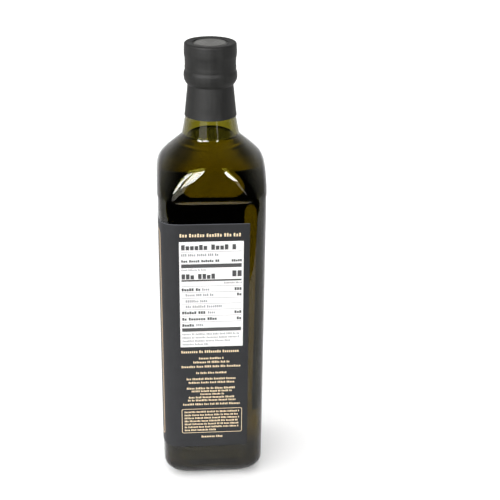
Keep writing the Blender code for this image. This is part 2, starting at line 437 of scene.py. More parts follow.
class Finish:
    """A Principled material and the nodes that give it its detail."""

    def __init__(self, name):
        self.material = bpy.data.materials.new(name)
        self.material.use_nodes = True
        self.tree = self.material.node_tree
        self.shader = self.tree.nodes["Principled BSDF"]
        self.output = self.tree.nodes["Material Output"]
        self.place = self.add("ShaderNodeTexCoord").outputs["Object"]

    def add(self, kind, **settings):
        """A new node with its settings."""
        node = self.tree.nodes.new(kind)
        for key, value in settings.items():
            setattr(node, key, value)
        return node

    def link(self, source, target):
        """A link from one socket to another."""
        self.tree.links.new(source, target)

    def set(self, **values):
        """Constant values on the shader's own sockets."""
        for key, value in values.items():
            self.shader.inputs[key.replace("_", " ")].default_value = value

    def stretched(self, scale):
        """The object's coordinates, scaled along each axis."""
        mapping = self.add("ShaderNodeMapping")
        mapping.inputs["Scale"].default_value = scale
        self.link(self.place, mapping.inputs["Vector"])
        return mapping.outputs["Vector"]

    def noise(self, scale, detail=3.0, rough=0.5, stretch=(1, 1, 1)):
        """A noise pattern's value over the piece."""
        node = self.add("ShaderNodeTexNoise")
        node.inputs["Scale"].default_value = scale
        node.inputs["Detail"].default_value = detail
        node.inputs["Roughness"].default_value = rough
        self.link(self.stretched(stretch), node.inputs["Vector"])
        return node.outputs["Fac"]

    def ramp(self, value, low, high):
        """A number that goes from low to high as a pattern's value goes over its middle range."""
        node = self.add("ShaderNodeMapRange")
        node.inputs["From Min"].default_value = 0.35
        node.inputs["From Max"].default_value = 0.65
        node.inputs["To Min"].default_value = low
        node.inputs["To Max"].default_value = high
        self.link(value, node.inputs["Value"])
        return node.outputs["Result"]

    def colours(self, value, first, second):
        """A colour between two, by a pattern's value."""
        node = self.add("ShaderNodeValToRGB")
        node.color_ramp.elements[0].position = 0.35
        node.color_ramp.elements[0].color = (*first, 1.0)
        node.color_ramp.elements[1].position = 0.65
        node.color_ramp.elements[1].color = (*second, 1.0)
        self.link(value, node.inputs["Fac"])
        return node.outputs["Color"]

    def over(self, height, colour, under):
        """A colour above a height on the piece, and another pattern's colour below it."""
        split = self.add("ShaderNodeSeparateXYZ")
        self.link(self.place, split.inputs["Vector"])
        above = self.add("ShaderNodeMath", operation="GREATER_THAN")
        above.inputs[1].default_value = height
        self.link(split.outputs["Z"], above.inputs[0])
        mix = self.add("ShaderNodeMix", data_type="RGBA")
        mix.inputs["B"].default_value = (*colour, 1.0)
        self.link(above.outputs["Value"], mix.inputs["Factor"])
        self.link(under, mix.inputs["A"])
        return mix.outputs["Result"]

    def bump(self, value, distance, strength=1.0, under=None):
        """Fine relief from a pattern, over an earlier one where given."""
        node = self.add("ShaderNodeBump")
        node.inputs["Strength"].default_value = strength
        node.inputs["Distance"].default_value = distance
        self.link(value, node.inputs["Height"])
        if under:
            self.link(under, node.inputs["Normal"])
        return node.outputs["Normal"]

    def finish(self, colour=None, rough=None, relief=None):
        """Link the detail to the shader."""
        for source, name in ((colour, "Base Color"), (rough, "Roughness"), (relief, "Normal")):
            if source:
                self.link(source, self.shader.inputs[name])
        return self.material


def shade(colour, factor):
    """A colour made lighter or darker."""
    return tuple(min(channel * factor, 1.0) for channel in colour)


def clear_finish(name, tint, density, refraction, wave, wave_scale):
    """Tinted clear glass or oil: light is lost with depth, and the surface waves a little."""
    made = Finish(name)
    made.set(Base_Color=(1, 1, 1, 1), Roughness=0.0, IOR=refraction, Transmission_Weight=1.0)
    made.set(Specular_Tint=(0.64, 0.64, 0.64, 1))
    depth = made.add("ShaderNodeVolumeAbsorption")
    depth.inputs["Color"].default_value = (*tint, 1.0)
    depth.inputs["Density"].default_value = density
    made.link(depth.outputs["Volume"], made.output.inputs["Volume"])
    relief = made.bump(made.noise(wave_scale, 1.0), wave)
    return made.finish(relief=relief)


def glass_finish(colours):
    """Dark green bottle glass."""
    return clear_finish("green_glass", colours.glass, GLASS_DENSITY, GLASS_REFRACTION, 0.00004, 60.0)


def oil_finish(colours):
    """Olive oil."""
    return clear_finish("olive_oil", colours.oil, OIL_DENSITY, OIL_REFRACTION, 0.00001, 40.0)


def cap_finish(colours):
    """Charcoal moulded plastic with a fine moulding grain."""
    made = Finish("cap_plastic")
    grain = made.noise(1800.0, 2.0)
    cloud = made.noise(160.0, 3.0)
    made.set(Specular_IOR_Level=0.4)
    return made.finish(
        made.colours(cloud, shade(colours.cap, 0.86), shade(colours.cap, 1.14)),
        made.ramp(cloud, 0.34, 0.46),
        made.bump(grain, 0.00003, 0.4),
    )


def skin_finish(colours):
    """Black shrunk film with a dull sheen and faint drawn-out streaks."""
    made = Finish("black_skin")
    grain = made.noise(2600.0, 2.0)
    streaks = made.noise(260.0, 3.0, stretch=(1, 1, 0.12))
    made.set(Specular_IOR_Level=0.12)
    relief = made.bump(streaks, 0.00004, 0.35)
    return made.finish(
        made.colours(streaks, shade(colours.skin, 0.85), shade(colours.skin, 1.15)),
        made.ramp(streaks, 0.50, 0.60),
        made.bump(grain, 0.00002, 0.35, relief),
    )


def paper_finish(colours):
    """Charcoal ink flooded over uncoated paper, with a pale cut edge at the top."""
    made = Finish("label_paper")
    fibre = made.noise(2200.0, 4.0, 0.6)
    cloud = made.noise(90.0, 3.0)
    made.set(Specular_IOR_Level=0.22)
    flood = made.colours(cloud, shade(colours.paper, 0.93), shade(colours.paper, 1.07))
    return made.finish(
        made.over(LABEL_TOP - CUT_EDGE, shade(colours.paper, 7.0), flood),
        made.ramp(fibre, 0.42, 0.56),
        made.bump(fibre, 0.00002, 0.3),
    )


def ink_finish(name, colour, rough=0.5, metallic=0.0, mottling=0.05):
    """Flat ink with a slight mottle, over the paper's fibre."""
    made = Finish(name)
    fibre = made.noise(2200.0, 4.0, 0.6)
    mottle = made.noise(500.0, 3.0)
    made.set(Metallic=metallic)
    return made.finish(
        made.colours(mottle, shade(colour, 1 - mottling), shade(colour, 1 + mottling)),
        made.ramp(fibre, rough - 0.06, rough + 0.08),
        made.bump(fibre, 0.00001, 0.3),
    )


# Glass and oil

def glass_rings(wall):
    """The glass from the hollow under its base, up the outside, over the lip and down the inside."""
    ring_half = PANEL_HALF - HEEL_INSET - REST_RING_WIDTH
    ring_reach = BASE_REACH - REST_RING_WIDTH
    rings = []
    for share in (0.2, 0.4, 0.6, 0.75, 0.88, 0.95, 1.0):
        z = PUSH_UP * (1 - share * share)
        rings.append(cut_ring(z, ring_half * share, ring_reach * share))
    rings += heel_rings(0.0, 0.0)
    rings += [body_ring(z, 0.0) for z in body_heights(HEEL_HEIGHT)]
    rings += [body_ring(z, 0.0) for z in even_heights(SHOULDER_END_Z, NECK_TOP_Z, NECK_STEPS)]
    rings += [body_ring(NECK_TOP_Z, 0.0), round_ring(FINISH_Z, FINISH_RADIUS)]
    bore = FINISH_RADIUS - wall
    rings += [
        round_ring(MOUTH_Z - LIP_ROUND, FINISH_RADIUS),
        round_ring(MOUTH_Z, FINISH_RADIUS - LIP_ROUND),
        round_ring(MOUTH_Z, bore + LIP_ROUND),
        round_ring(MOUTH_Z - LIP_ROUND, bore),
        round_ring(FINISH_Z, bore),
    ]
    rings += [body_ring(z, wall) for z in reversed(even_heights(SHOULDER_END_Z, NECK_LOW_Z, NECK_STEPS // 2))]
    rings += [body_ring(z, wall) for z in reversed(body_heights(FLOOR + HEEL_HEIGHT - FLOOR / 2))]
    rings += list(reversed(heel_rings(FLOOR, wall)))
    return rings


def make_glass(sizes, colours):
    """The bottle itself, hollow and open at its mouth."""
    mesh = loft("glass_body", glass_rings(sizes.wall))
    return add_piece(mesh, glass_finish(colours), "bottle_glass", 50)


def make_oil(sizes, colours):
    """The oil, which reaches just into the wall, with its surface drawn up a little at the glass."""
    depth = sizes.wall - OIL_REACH
    low = FLOOR - OIL_REACH
    rings = heel_rings(low, depth)
    heights = body_heights(low + HEEL_HEIGHT - low / 2)
    rings += [body_ring(z, depth) for z in heights if z < sizes.oil_level - MENISCUS]
    for step in range(MENISCUS_RINGS):
        inward = MENISCUS_STEP * step * step / 4
        z = sizes.oil_level - MENISCUS * (1 - math.exp(-inward / MENISCUS_REACH))
        rings.append(body_ring(z, depth + inward))
    mesh = loft("oil_fill", rings)
    return add_piece(mesh, oil_finish(colours), "olive_oil", 50)


# Cap and skin

def curve_through(points, steps):
    """Points on a smooth curve through a few given ones, each span in a number of steps."""
    ends = [points[0], *points, points[-1]]
    curve = []
    for before, start, end, after in zip(ends, ends[1:], ends[2:], ends[3:]):
        for step in range(steps):
            t = step / steps
            curve.append(tuple(
                b + 0.5 * t * (c - a + t * (2 * a - 5 * b + 4 * c - d + t * (3 * (b - c) + d - a)))
                for a, b, c, d in zip(before, start, end, after)
            ))
    curve.append(points[-1])
    return curve


def turned_rings(outline, angles):
    """Rings of an outline, given as radius and height, turned round the axis."""
    return [[polar(radius, angle, z) for angle in angles] for radius, z in outline]


def even_angles(steps):
    """Directions evenly round the axis."""
    return [math.tau * step / steps for step in range(steps)]


def cap_disc_height(radius):
    """Height of the cap's top at a radius: a shallow dish with moulded rings."""
    dish = DISH_DEPTH * (1 - min(radius / DISH_RADIUS, 1.0) ** 2)
    groove = GROOVE_DEPTH * min(max((radius - GROOVE_RADIUS) / GROOVE_WIDTH, 0.0), 1.0)
    rings = sum(height * math.exp(-((radius - ring) / CAP_RING_WIDTH) ** 2) for ring, height in CAP_RINGS)
    return CAP_BOX[1].z + CAP_DISC_RISE - dish - groove + rings


def make_cap(sizes, colours):
    """The screw cap: a cup over the bottle's finish, its disc seen through the skin's hole."""
    radii = [CAP_DISC_RADIUS * step / CAP_DISC_STEPS for step in range(1, CAP_DISC_STEPS + 1)]
    outline = [(radius, cap_disc_height(radius)) for radius in radii]
    outline += [(CAP_BOX[1].x - inward, CAP_BOX[1].z - down) for inward, down in CAP_SHOULDER]
    inset = sizes.skin + CAP_GAP
    side = [(radius - inset, z) for z, radius in SKIN_SIDE if CAP_BOX[0].z + 0.0001 < z < CAP_EDGE_Z]
    bore = FINISH_RADIUS + CAP_GAP
    under = MOUTH_Z + CAP_GAP
    inside = [(bore + 0.0004, CAP_BOX[0].z), (bore, CAP_BOX[0].z), (bore, under), (0.0004, under)]
    outline = outline + side + inside
    rings = list(reversed(turned_rings(outline, even_angles(TURN_STEPS))))
    mesh = loft("cap_cup", rings)
    return add_piece(mesh, cap_finish(colours), "screw_cap", 40)


def skin_relief(angle, z):
    """How far the shrunk skin stands off its even form: a seam and faint folds."""
    seam = math.exp(-((angle - SEAM_ANGLE) / SEAM_WIDTH) ** 2) * SEAM_HEIGHT
    folds = noise.noise(Vector(polar(3, angle, z * 260))) * FOLD_HEIGHT
    ripples = noise.noise(Vector(polar(1.2, angle, z * 1500))) * RIPPLE_HEIGHT
    return seam + folds + ripples


def skin_hole_radius(angle):
    """Radius of the skin's hole in its top, drawn in unevenly."""
    wave = noise.noise(Vector(polar(4, angle, 7.1)))
    fine = noise.noise(Vector(polar(11, angle, 3.3)))
    return SKIN_HOLE_RADIUS + HOLE_WAVE * wave + HOLE_RIPPLE * fine


def skin_top_ring(share, drop):
    """A ring of the skin's top: share 0 at the hole and 1 at the rounded edge."""
    outer = SKIN_SIDE[0][1] - SKIN_EDGE_ROUND
    ring = []
    for angle in even_angles(TURN_STEPS):
        hole = skin_hole_radius(angle)
        radius = hole + (outer - hole) * share
        pucker = noise.noise(Vector(polar(9, angle, share * 2)))
        sag = SKIN_SAG * (1 - share) ** 2 + SKIN_PUCKER * (1 - share) * (1 + pucker)
        ring.append(polar(radius, angle, SKIN_TOP_Z - SKIN_TOP_ROOM - sag - drop))
    return ring


def skin_side_ring(radius, z):
    """A ring of the skin's side."""
    return [polar(radius + skin_relief(angle, z), angle, z) for angle in even_angles(TURN_STEPS)]


def make_skin(sizes, colours):
    """The black skin, turned over the cap's top and shrunk on to cap and neck."""
    rings = [skin_top_ring(share / 8, 0.0) for share in range(9)]
    edge = SKIN_SIDE[0][1] - SKIN_SIDE_ROOM
    for step in range(1, 6):
        turn = math.pi / 2 * step / 6
        inset = SKIN_EDGE_ROUND * (1 - math.sin(turn))
        drop = SKIN_EDGE_ROUND * (1 - math.cos(turn))
        rings.append(skin_side_ring(edge - inset, SKIN_TOP_Z - SKIN_TOP_ROOM - drop))
    side = [(radius - SKIN_SIDE_ROOM, z) for radius, z in curve_through([(r, z) for z, r in SKIN_SIDE], 5)]
    rings += [skin_side_ring(radius, z) for radius, z in side]
    rings += [skin_side_ring(radius - sizes.skin, z) for radius, z in reversed(side)]
    rings.append(skin_side_ring(edge - SKIN_EDGE_ROUND * 0.8, SKIN_TOP_Z - sizes.skin - 2 * SKIN_TOP_ROOM))
    rings += [skin_top_ring(share / 8, sizes.skin) for share in range(8, -1, -1)]
    mesh = loft("shrink_skin", list(reversed(rings)), closed=True)
    return add_piece(mesh, skin_finish(colours), "shrink_sleeve", 50)


# Label and print

def quarter_wrap():
    """Distances and points along the body, from the seen face's middle round to the left face's middle."""
    places = [(0.0, Vector((0.0, -PANEL_HALF)))]
    for step in range(1, WRAP_STEPS + 1):
        angle = -math.pi / 2 * (1 + step / WRAP_STEPS)
        radius = cut_radius(angle, PANEL_HALF, DOME_RADIUS)
        point = Vector((radius * math.cos(angle), radius * math.sin(angle)))
        places.append((places[-1][0] + (point - places[-1][1]).length, point))
    return [along for along, point in places], [point for along, point in places]


QUARTER_ALONG, QUARTER_POINTS = quarter_wrap()
LEFT_FACE = -QUARTER_ALONG[-1]
FAR_FACE = 2 * LEFT_FACE
LABEL_END = FAR_FACE - LABEL_EDGE


def wrap_point(along, z, lift):
    """A point on the label: along is measured from the seen face's middle, negative round to the left."""
    if along > 0.0:
        x, y, z = wrap_point(-along, z, lift)
        return (-x, y, z)
    face, rest = divmod(-along, -LEFT_FACE)
    place = min(max(bisect.bisect(QUARTER_ALONG, rest), 1), WRAP_STEPS)
    start, end = QUARTER_POINTS[place - 1], QUARTER_POINTS[place]
    share = (rest - QUARTER_ALONG[place - 1]) / (QUARTER_ALONG[place] - QUARTER_ALONG[place - 1])
    step = (end - start).normalized()
    x, y = start.lerp(end, share) + Vector((-step.y, step.x)) * lift
    for turn in range(int(face)):
        x, y = y, -x
    return (x, y, z)


def join_rows(body, rows):
    """Faces between each row of four corners and the next row."""
    for first, second in zip(rows, rows[1:]):
        for side in range(4):
            after = (side + 1) % 4
            body.faces.new((first[side], first[after], second[after], second[side]))


def add_plate(body, columns, low, high):
    """A closed thin plate on the label; columns go along it as (along, lower z, upper z)."""
    rows = []
    for along, z_low, z_high in columns:
        corners = ((z_low, low), (z_high, low), (z_high, high), (z_low, high))
        rows.append([body.verts.new(wrap_point(along, z, lift)) for z, lift in corners])
    join_rows(body, rows)
    body.faces.new(tuple(reversed(rows[0])))
    body.faces.new(tuple(rows[-1]))


def add_bar(body, left, right, low_z, high_z, low, high):
    """A plain bar on the label, bent with it."""
    steps = 1
    if left < -FLAT_REACH:
        steps = max(1, math.ceil((right - left) / BEND_STEP))
    columns = [(left + (right - left) * step / steps, low_z, high_z) for step in range(steps + 1)]
    add_plate(body, columns, low, high)


def rounded_columns(left, right, low_z, high_z, corner):
    """Columns of a bar with rounded corners, close enough together to bend with the body."""
    turns = [math.pi / 2 * step / 4 for step in range(5)]
    bends = [(corner * (1 - math.cos(turn)), corner * (1 - math.sin(turn))) for turn in turns]
    columns = [(left + along, low_z + inset, high_z - inset) for along, inset in bends]
    steps = max(1, math.ceil((right - left - 2 * corner) / BEND_STEP))
    for step in range(1, steps):
        columns.append((left + corner + (right - left - 2 * corner) * step / steps, low_z, high_z))
    columns += [(right - along, low_z + inset, high_z - inset) for along, inset in reversed(bends)]
    return columns


def print_mesh(name, draw):
    """A mesh filled by a drawing function."""
    mesh = bpy.data.meshes.new(name)
    body = bmesh.new()
    draw(body)
    bmesh.ops.recalc_face_normals(body, faces=body.faces)
    body.to_mesh(mesh)
    body.free()
    return mesh


def make_label(sizes, colours):
    """The paper label, one sheet bent round three faces."""
    def draw(body):
        columns = rounded_columns(LABEL_END, LABEL_EDGE, sizes.label_bottom, sizes.label_top, LABEL_CORNER)
        add_plate(body, columns, PAPER_INSIDE, PAPER_OUTSIDE)
    mesh = print_mesh("label_sheet", draw)
    return add_piece(mesh, paper_finish(colours), "label_wrap", 30)


def add_words(body, left, right, z, height, draw, low, heavy=False, from_right=False):
    """A row of plain blocks that stand for words between two places on the label."""
    wide, gap = (height * share for share in (HEAVY_BLOCK if heavy else LIGHT_BLOCK))
    words = []
    room = right - left
    used = 0.0
    while used < room:
        count = draw.randint(2, 8)
        length = count * (wide + gap)
        if used + length > room:
            count = int((room - used) / (wide + gap))
            if count < 1:
                break
            length = count * (wide + gap)
        words.append((used, count))
        used += length + wide * 0.9
    shift = right - (words[-1][0] + words[-1][1] * (wide + gap) - gap) if from_right and words else left
    for start, count in words:
        for letter in range(count):
            at = shift + start + letter * (wide + gap)
            top = z + height / 2 if draw.random() < 0.35 or letter == 0 else z + height * 0.28
            add_bar(body, at, at + wide, z - height / 2, top, low, low + INK_DEPTH)


PANEL_LEFT = -21.5 * MM
PANEL_RIGHT = 19.0 * MM
PANEL_LOW = 105.1 * MM
PANEL_HIGH = 180.3 * MM
PANEL_MARGIN = 1.2 * MM
PANEL_INSIDE = (PANEL_LEFT + PANEL_MARGIN, PANEL_RIGHT - PANEL_MARGIN)
FINE_LINE = 0.24 * MM

# Frames as lower and upper edge, line and corner; those of the other faces' design have their reach first
GOLD_FRAME = (37.9 * MM, 57.2 * MM, 0.35 * MM, 1.2 * MM)
SIDE_FRAMES = (
    (27.8 * MM, 33.0 * MM, 186.0 * MM, 0.9 * MM, 3.0 * MM),
    (25.6 * MM, 35.2 * MM, 183.8 * MM, 0.3 * MM, 2.4 * MM),
)

# Heights of the other faces' lozenges, bars and words, and the bars' half widths, in millimetres
SIDE_LOZENGE_Z = 150.0
SIDE_BARS_Z = 118.0
SIDE_BARS = (17.0, 13.0, 17.0)
SIDE_WORDS_Z = 92.0
SIDE_WORD_ROWS = 9
SIDE_BORDER_Z = 45.0

# Width of a block and of the gap after it, as shares of its row's height
HEAVY_BLOCK = (0.62, 0.16)
LIGHT_BLOCK = (0.46, 0.26)

# Seeds of the random draws that set the words' lengths and the blocks' heights
HEAVY_SEED = 5
LIGHT_SEED = 8
GOLD_SEED = 3
LEFT_SEED = 21
FAR_SEED = 22

# Rows in the white panel, as height, size, left and right, in millimetres
HEAVY_ROWS = (
    (176.4, 3.6, -20.2, 17.4),
    (167.0, 1.7, -20.2, 6.0),
    (156.2, 3.6, -20.2, 1.5),
    (147.0, 2.0, -20.2, -8.0),
    (130.4, 2.0, -20.2, -4.5),
    (125.8, 2.0, -20.2, 4.0),
    (121.3, 2.0, -20.2, -12.0),
)
HEAVY_RIGHT_ROWS = (
    (167.0, 1.7, 10.0, 17.8),
    (157.9, 4.2, 8.0, 17.8),
    (147.0, 2.0, 13.0, 17.8),
    (143.1, 2.0, 14.0, 17.8),
    (130.4, 2.0, 13.0, 17.8),
    (125.8, 2.0, 13.5, 17.8),
)
LIGHT_ROWS = (
    (171.2, 1.7, -20.2, 4.0),
    (160.8, 1.1, -20.2, -4.0),
    (147.0, 1.7, -7.2, -1.5),
    (143.1, 1.7, -17.8, 1.0),
    (138.7, 1.7, -17.8, -3.0),
    (134.8, 1.7, -17.8, 6.0),
    (130.4, 1.7, -3.6, 2.0),
    (121.3, 1.7, -11.2, -6.0),
    (114.6, 1.3, -20.2, 17.6),
    (112.1, 1.3, -20.2, 17.2),
    (109.6, 1.3, -20.2, 12.0),
    (107.1, 1.3, -20.2, -3.0),
)
LIGHT_RIGHT_ROWS = ((151.4, 1.2, 6.0, 17.8),)
PANEL_BARS = ((163.6, 2.6), (153.4, 1.2), (117.9, 2.6))
PANEL_LINES = (149.4, 145.1, 140.9, 136.8, 132.6, 128.1, 123.6)
PANEL_HEAD_LINE = 173.4

# Gold rows on the seen face, as height, size, left and right, in millimetres
GOLD_ROWS = (
    (184.6, 2.3, -21.0, 18.6),
    (101.4, 1.9, -21.1, 18.9),
    (96.3, 1.5, -9.6, 7.0),
    (93.4, 1.5, -13.4, 11.5),
    (90.1, 1.6, -21.1, 18.6),
    (85.2, 1.5, -11.5, 8.9),
    (80.6, 1.5, -17.9, 15.3),
    (77.8, 1.5, -16.6, 14.1),
    (73.3, 1.5, -17.9, 15.6),
    (71.0, 1.3, -14.7, 12.8),
    (68.7, 1.3, -8.9, 7.7),
    (66.2, 1.4, -16.6, 14.7),
    (63.9, 1.4, -17.2, 15.3),
    (60.8, 1.5, -20.5, 18.6),
    (54.7, 1.3, -19.6, 17.4),
    (52.2, 1.3, -19.6, 17.0),
    (49.8, 1.3, -19.6, 17.5),
    (47.4, 1.3, -19.6, 16.6),
    (45.0, 1.3, -19.6, 17.2),
    (42.6, 1.3, -19.6, 17.4),
    (40.2, 1.3, -19.6, 2.0),
    (34.7, 1.6, -8.3, 6.4),
)


def add_frame(body, left, right, low_z, high_z, line, corner, low):
    """A thin line round a rounded rectangle on the label."""
    centres = (
        (right - corner, high_z - corner, 0.0),
        (left + corner, high_z - corner, math.pi / 2),
        (left + corner, low_z + corner, math.pi),
        (right - corner, low_z + corner, math.pi * 1.5),
    )
    path = []
    for along, z, start in centres:
        for step in range(7):
            turn = start + math.pi / 2 * step / 6
            path.append((along, z, math.cos(turn), math.sin(turn)))
    full = []
    for first, second in zip(path, path[1:] + path[:1]):
        full.append(first)
        gap = second[0] + second[2] * corner - first[0] - first[2] * corner
        steps = math.ceil(abs(gap) / BEND_STEP) if left < -FLAT_REACH else 1
        for step in range(1, steps):
            share = step / steps
            full.append(tuple(a + (b - a) * share for a, b in zip(first, second)))
    rows = []
    for along, z, side, up in full:
        inner = (along + side * (corner - line), z + up * (corner - line))
        outer = (along + side * corner, z + up * corner)
        corners = ((inner, low), (outer, low), (outer, low + INK_DEPTH), (inner, low + INK_DEPTH))
        rows.append([body.verts.new(wrap_point(*place, lift)) for place, lift in corners])
    join_rows(body, [*rows, rows[0]])


def add_lozenge(body, centre, z, half_width, half_height, low):
    """A plain lozenge on the label."""
    columns = []
    for share in (-1, -0.5, 0, 0.5, 1):
        reach = half_height * (1 - abs(share)) + 1e-6
        columns.append((centre + half_width * share, z - reach, z + reach))
    add_plate(body, columns, low, low + INK_DEPTH)


def draw_panel(body):
    """The white panel itself."""
    low = PAPER_OUTSIDE
    add_bar(body, PANEL_LEFT, PANEL_RIGHT, PANEL_LOW, PANEL_HIGH, low, low + INK_DEPTH)


def add_rows(body, rows, draw, low, **form):
    """Rows of blocks from a table that gives each one's height, size, left and right in millimetres."""
    for z, size, left, right in rows:
        add_words(body, left * MM, right * MM, z * MM, size * MM, draw, low, **form)


def draw_panel_rows(body):
    """The white panel's heavy bars and blocks."""
    low = PAPER_OUTSIDE + INK_DEPTH
    draw = random.Random(HEAVY_SEED)
    add_rows(body, HEAVY_ROWS, draw, low, heavy=True)
    add_rows(body, HEAVY_RIGHT_ROWS, draw, low, heavy=True, from_right=True)
    for z, thick in PANEL_BARS:
        add_bar(body, *PANEL_INSIDE, (z - thick / 2) * MM, (z + thick / 2) * MM, low, low + INK_DEPTH)


def draw_panel_light_rows(body):
    """The white panel's fine lines and light blocks."""
    low = PAPER_OUTSIDE + INK_DEPTH
    draw = random.Random(LIGHT_SEED)
    add_rows(body, LIGHT_ROWS, draw, low)
    add_rows(body, LIGHT_RIGHT_ROWS, draw, low, from_right=True)
    for z in (*PANEL_LINES, PANEL_HEAD_LINE):
        add_bar(body, *PANEL_INSIDE, z * MM - FINE_LINE / 2, z * MM + FINE_LINE / 2, low, low + INK_DEPTH)


def draw_gold(body):
    """The seen face's gold rows and the frame round its last block."""
    add_rows(body, GOLD_ROWS, random.Random(GOLD_SEED), PAPER_OUTSIDE)
    add_frame(body, PANEL_LEFT, PANEL_RIGHT, *GOLD_FRAME, PAPER_OUTSIDE)


def draw_side(body, centre, seed):
    """A plain design for one of the label's other faces: frames, lozenges, bars and rows of blocks."""
    low = PAPER_OUTSIDE
    draw = random.Random(seed)
    for reach, *form in SIDE_FRAMES:
        add_frame(body, centre - reach, centre + reach, *form, low)
    middle = SIDE_LOZENGE_Z * MM
    add_lozenge(body, centre, middle, 9.0 * MM, 16.0 * MM, low)
    for side in (-1, 1):
        for step in range(3):
            along = centre + side * (13.5 + 3.4 * step) * MM
            add_lozenge(body, along, middle, (1.6 - 0.35 * step) * MM, (2.8 - 0.6 * step) * MM, low)
    for step, wide in enumerate(SIDE_BARS):
        z = (SIDE_BARS_Z - 6.0 * step) * MM
        ends = (centre - wide * MM, centre + wide * MM)
        add_bar(body, *ends, z - 1.4 * MM, z + 1.4 * MM, low, low + INK_DEPTH)
    for step in range(SIDE_WORD_ROWS):
        wide = (16.5 if step % 3 else 14.0) * MM
        z = (SIDE_WORDS_Z - 4.2 * step) * MM
        add_words(body, centre - wide, centre + wide, z, 1.5 * MM, draw, low)
    for step in range(-3, 4):
        along = centre + step * 5.0 * MM
        add_lozenge(body, along, SIDE_BORDER_Z * MM, 1.5 * MM, 2.6 * MM, low)


def draw_sides(body):
    """The plain designs of the left and the far face."""
    draw_side(body, LEFT_FACE, LEFT_SEED)
    draw_side(body, FAR_FACE, FAR_SEED)


def make_print(colours):
    """The label's print: a white panel, plain rows, a gold frame and the other faces' plain design."""
    drawings = (
        ("print_white_panel", draw_panel, ink_finish("panel_white", colours.panel, mottling=0.01)),
        ("print_dark_rows", draw_panel_rows, ink_finish("row_grey", colours.heavy_rows)),
        ("print_light_rows", draw_panel_light_rows, ink_finish("row_light_grey", colours.light_rows)),
        ("print_gold_rows", draw_gold, ink_finish("gold_ink", colours.gold, 0.42, 0.1)),
        ("print_side_design", draw_sides, ink_finish("copper_ink", colours.copper, 0.38, 0.6)),
    )
    for name, drawing, material in drawings:
        add_piece(print_mesh(name, drawing), material, None, 30)


# Stage

def sheet(across, along):
    """Corners and face of a level rectangle, from half its width and half its length."""
    corners = [(-across, -along, 0), (across, -along, 0), (across, along, 0), (-across, along, 0)]
    return corners, [(0, 1, 2, 3)]


def add_stage_mesh(name, points, faces, material, unseen, place=(0, 0, 0)):
    """One mesh of the stage, left out of some kinds of rays."""
    mesh = bpy.data.meshes.new(name)
    mesh.from_pydata(points, [], faces)
    mesh.materials.append(material)
    piece = bpy.data.objects.new(name, mesh)
    bpy.context.scene.collection.objects.link(piece)
    piece.location = place
    for kind in unseen:
        setattr(piece, f"visible_{kind}", False)


def make_floor(sizes, colours):
    """The plain pale floor under the bottle, which the glass doesn't show, as it has its own pale table."""
    reach = sizes.floor_size / 2
    made = Finish("pale_floor")
    mottle = made.noise(9.0, 2.0)
    made.set(Emission_Color=(1, 1, 1, 1), Emission_Strength=FLOOR_GLOW)
    made.finish(
        made.colours(mottle, shade(colours.floor, 0.995), colours.floor),
        made.ramp(mottle, 0.60, 0.66),
    )
    add_stage_mesh("pale_floor", *sheet(reach, reach), made.material, ("transmission",))


def make_backdrop(sizes):
    """A plain white wall round the floor, which only the camera sees."""
    reach = sizes.floor_size * 0.49
    ring = [polar(reach, angle, 0.0) for angle in even_angles(BACKDROP_STEPS)]
    top = [(x, y, reach) for x, y, z in ring]
    sides = [(step, (step + 1) % BACKDROP_STEPS) for step in range(BACKDROP_STEPS)]
    faces = [(here, there, there + BACKDROP_STEPS, here + BACKDROP_STEPS) for here, there in sides]
    made = Finish("pale_backdrop")
    made.set(Emission_Color=(1, 1, 1, 1), Emission_Strength=1.0)
    mottle = made.noise(2.0, 2.0)
    made.finish(made.colours(mottle, (0.02, 0.02, 0.02), (0.03, 0.03, 0.03)), made.ramp(mottle, 0.8, 0.9))
    unseen = ("diffuse", "glossy", "transmission", "shadow")
    add_stage_mesh("pale_backdrop", ring + top, faces, made.material, unseen)


def make_card():
    """A black card in front of the bottle, which shows only in reflections and through the glass."""
    made = Finish("dark_front")
    made.set(Base_Color=(0.01, 0.01, 0.01, 1), Roughness=0.8, Specular_IOR_Level=0.0)
    unseen = ("camera", "diffuse", "shadow")
    add_stage_mesh("dark_front", *sheet(*DARK_CARD_REACH), made.material, unseen, DARK_CARD_PLACE)


def add_light(name, kind):
    """A light of one kind, with its lamp."""
    lamp = bpy.data.lights.new(name, kind)
    light = bpy.data.objects.new(name, lamp)
    bpy.context.scene.collection.objects.link(light)
    return light, lamp


def make_overhead():
    """The room's even light from above, a little from the left, which the glass doesn't mirror."""
    light, lamp = add_light("overhead_light", "SUN")
    lamp.energy = OVERHEAD_STRENGTH
    lamp.angle = OVERHEAD_SPREAD
    light.rotation_euler = OVERHEAD_TILT
    light.visible_glossy = False
    light.visible_transmission = False


def add_softbox(name, azimuth, elevation, distance, size, radiance):
    """A soft light that shows only as a reflection; azimuth 0 is in front, and more is to the right."""
    light, lamp = add_light(name, "AREA")
    lamp.shape = "RECTANGLE"
    lamp.size, lamp.size_y = size
    lamp.energy = radiance * size[0] * size[1] * math.pi
    side, up = math.radians(azimuth), math.radians(elevation)
    away = Vector((math.sin(side) * math.cos(up), -math.cos(side) * math.cos(up), math.sin(up)))
    light.location = LIGHT_AIM + away * distance
    light.rotation_euler = away.to_track_quat("Z", "Y").to_euler()
    light.visible_diffuse = False


def sky_range(tree, source, start, end, low, high):
    """A number that goes smoothly from low to high while another goes from start to end."""
    node = tree.nodes.new("ShaderNodeMapRange")
    node.interpolation_type = "SMOOTHSTEP"
    for name, value in (("From Min", start), ("From Max", end), ("To Min", low), ("To Max", high)):
        node.inputs[name].default_value = value
    tree.links.new(source, node.inputs["Value"])
    return node.outputs["Result"]


